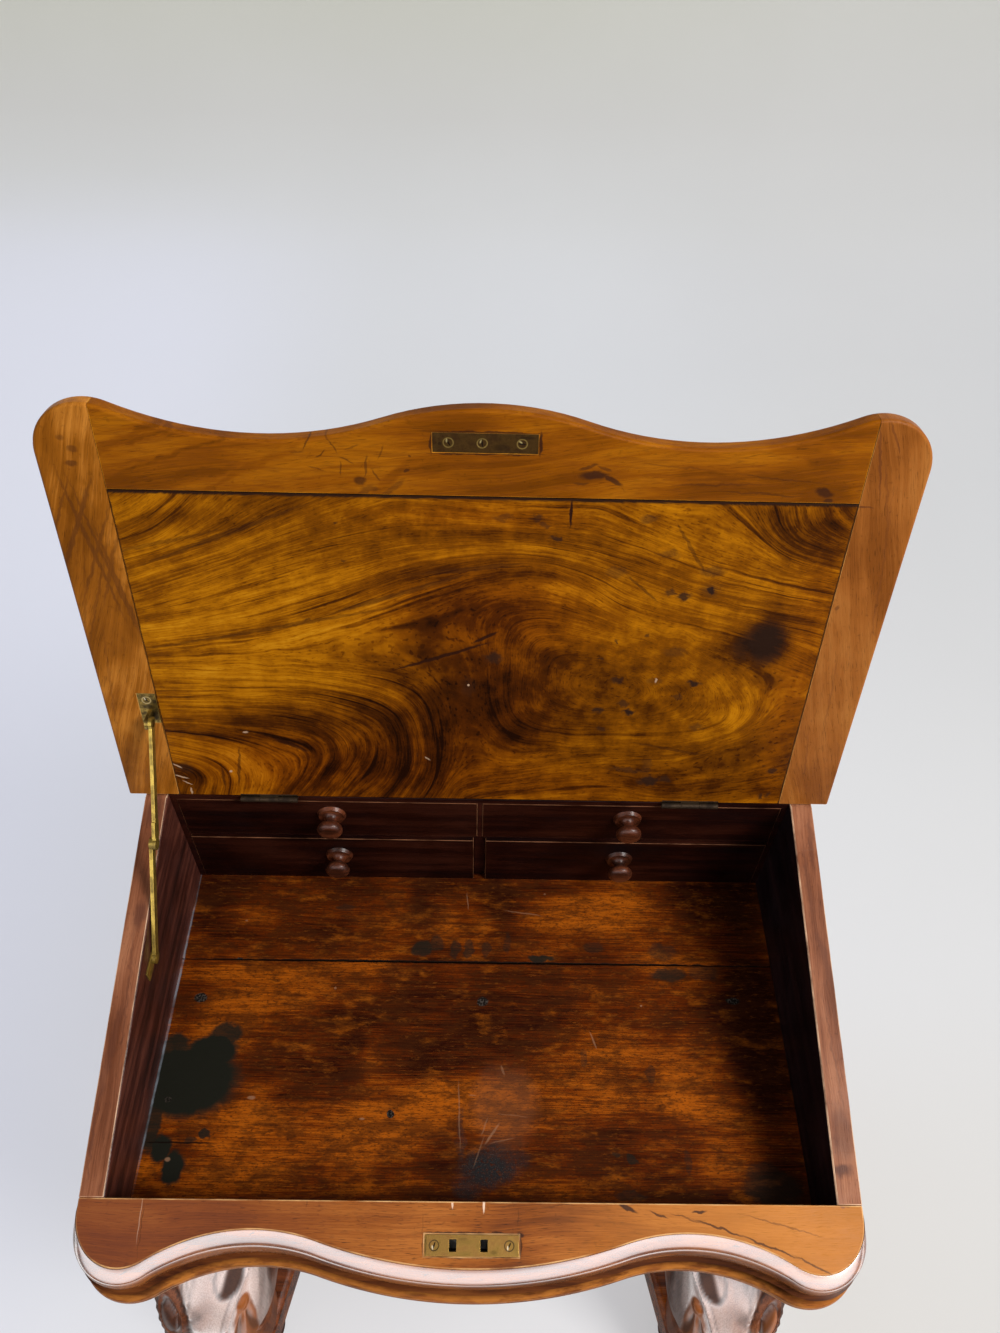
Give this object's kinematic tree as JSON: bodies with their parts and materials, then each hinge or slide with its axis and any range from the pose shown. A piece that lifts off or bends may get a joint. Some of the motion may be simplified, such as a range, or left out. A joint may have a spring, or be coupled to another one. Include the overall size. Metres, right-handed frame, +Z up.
{
  "type": "davenport desk",
  "caption": "Small writing desk with a lifting serpentine slope over a well, inner and side drawers, a stationery compartment and carved front legs.",
  "frame": {"origin": "middle of the bounding box on the floor, with the lid open", "axes": "+X to the sitter's right, +Y from the sitter to the back of the desk, +Z up"},
  "size_m": [0.5708, 0.553, 1.1249],
  "materials": {
    "walnut_figured": "french polished figured walnut",
    "walnut_rail": "french polished walnut",
    "walnut_clamp": "worn polished walnut",
    "walnut_polished": "glossy french polish",
    "walnut_veneer": "polished walnut veneer",
    "mahogany_lining": "worn dark mahogany",
    "turned_knob": "polished turned wood",
    "leather": "dark green hide with a plain gilt line",
    "brass": "aged brass",
    "brass_dark": "darkened brass",
    "steel": "dull steel"
  },
  "bodies": {
    "desk": {"front_rail": "walnut_rail", "front_moulding": "walnut_polished", "side_mouldings": "walnut_polished", "case_side_left": "walnut_clamp", "case_side_right": "walnut_clamp", "case_back": "walnut_veneer", "well_floor_front": "mahogany_lining", "well_floor_back": "mahogany_lining", "hinge_rail": "walnut_clamp", "flat_top": "walnut_veneer", "drawer_frame": "mahogany_lining", "lock_plate": "brass", "lock_body": "brass", "lock_screws": "brass", "hinge_case_leaves": "brass_dark", "hinge_pins": "brass_dark", "stay_wall_plate": "brass", "pedestal_sides": "walnut_veneer", "pedestal_front": "walnut_veneer", "pedestal_back": "walnut_veneer", "pedestal_plates": "walnut_veneer", "dust_boards": "walnut_veneer", "dummy_drawers": "walnut_veneer", "base": "walnut_polished", "leg_left": "walnut_polished", "leg_right": "walnut_polished", "feet": "walnut_polished", "stationery_box": "walnut_veneer", "stationery_dividers": "mahogany_lining", "stationery_hinges": "brass_dark"},
    "lid": {"lid_panel": "walnut_figured", "lid_clamp_left": "walnut_clamp", "lid_clamp_right": "walnut_clamp", "lid_front_rail": "walnut_rail", "writing_leather": "leather", "link_plate": "brass_dark", "link_screws": "brass_dark", "hinge_lid_leaves": "brass_dark", "stay_lid_bracket": "brass"},
    "stay_lower": {"stay_lower_bar": "brass"},
    "stay_upper": {"stay_upper_bar": "brass"},
    "lock_bolt": {"lock_bolt": "steel"},
    "stationery_lid": {"stationery_lid": "walnut_veneer", "stationery_lid_leaves": "brass_dark"},
    "small_drawer_upper_left": {"small_drawer_upper_left": "mahogany_lining", "small_knob_upper_left": "turned_knob"},
    "small_drawer_upper_right": {"small_drawer_upper_right": "mahogany_lining", "small_knob_upper_right": "turned_knob"},
    "small_drawer_lower_left": {"small_drawer_lower_left": "mahogany_lining", "small_knob_lower_left": "turned_knob"},
    "small_drawer_lower_right": {"small_drawer_lower_right": "mahogany_lining", "small_knob_lower_right": "turned_knob"},
    "side_drawer_1": {"side_drawer_1": "walnut_veneer", "side_drawer_knobs_1": "turned_knob"},
    "side_drawer_2": {"side_drawer_2": "walnut_veneer", "side_drawer_knobs_2": "turned_knob"},
    "side_drawer_3": {"side_drawer_3": "walnut_veneer", "side_drawer_knobs_3": "turned_knob"},
    "side_drawer_4": {"side_drawer_4": "walnut_veneer", "side_drawer_knobs_4": "turned_knob"}
  },
  "joints": [
    {"name": "lid_hinge", "type": "hinge", "parent": "desk", "child": "lid", "pos_m": [0, 0.0738, 0.79], "axis": [-1, 0, 0], "range_deg": [-116, 0]},
    {"name": "stay_lower_pivot", "type": "hinge", "parent": "desk", "child": "stay_lower", "pos_m": [-0.25265, -0.0392, 0.736], "axis": [1, 0, 0], "range_deg": [-92.71, 0]},
    {"name": "stay_upper_pivot", "type": "hinge", "parent": "lid", "child": "stay_upper", "pos_m": [-0.25105, 0.08283, 0.87803], "axis": [1, 0, 0], "range_deg": [-53.33, 0]},
    {"name": "small_drawer_upper_left_slide", "type": "slide", "parent": "desk", "child": "small_drawer_upper_left", "axis": [0, -1, 0], "range_m": [0, 0.125]},
    {"name": "small_drawer_upper_right_slide", "type": "slide", "parent": "desk", "child": "small_drawer_upper_right", "axis": [0, -1, 0], "range_m": [0, 0.125]},
    {"name": "small_drawer_lower_left_slide", "type": "slide", "parent": "desk", "child": "small_drawer_lower_left", "axis": [0, -1, 0], "range_m": [0, 0.125]},
    {"name": "small_drawer_lower_right_slide", "type": "slide", "parent": "desk", "child": "small_drawer_lower_right", "axis": [0, -1, 0], "range_m": [0, 0.125]},
    {"name": "side_drawer_1_slide", "type": "slide", "parent": "desk", "child": "side_drawer_1", "axis": [1, 0, 0], "range_m": [0, 0.24]},
    {"name": "side_drawer_2_slide", "type": "slide", "parent": "desk", "child": "side_drawer_2", "axis": [1, 0, 0], "range_m": [0, 0.24]},
    {"name": "side_drawer_3_slide", "type": "slide", "parent": "desk", "child": "side_drawer_3", "axis": [1, 0, 0], "range_m": [0, 0.24]},
    {"name": "side_drawer_4_slide", "type": "slide", "parent": "desk", "child": "side_drawer_4", "axis": [1, 0, 0], "range_m": [0, 0.24]},
    {"name": "lock_bolt_slide", "type": "slide", "parent": "desk", "child": "lock_bolt", "axis": [1, 0, 0], "range_m": [0, 0.005]},
    {"name": "stationery_lid_hinge", "type": "hinge", "parent": "desk", "child": "stationery_lid", "pos_m": [0, 0.26025, 0.88215], "axis": [-1, 0, 0], "range_deg": [0, 100]}
  ],
  "couplings": [
    {"joint": "stay_lower_pivot", "follows": "lid_hinge", "ratio": 0.79911},
    {"joint": "stay_upper_pivot", "follows": "lid_hinge", "ratio": 0.45968}
  ]
}
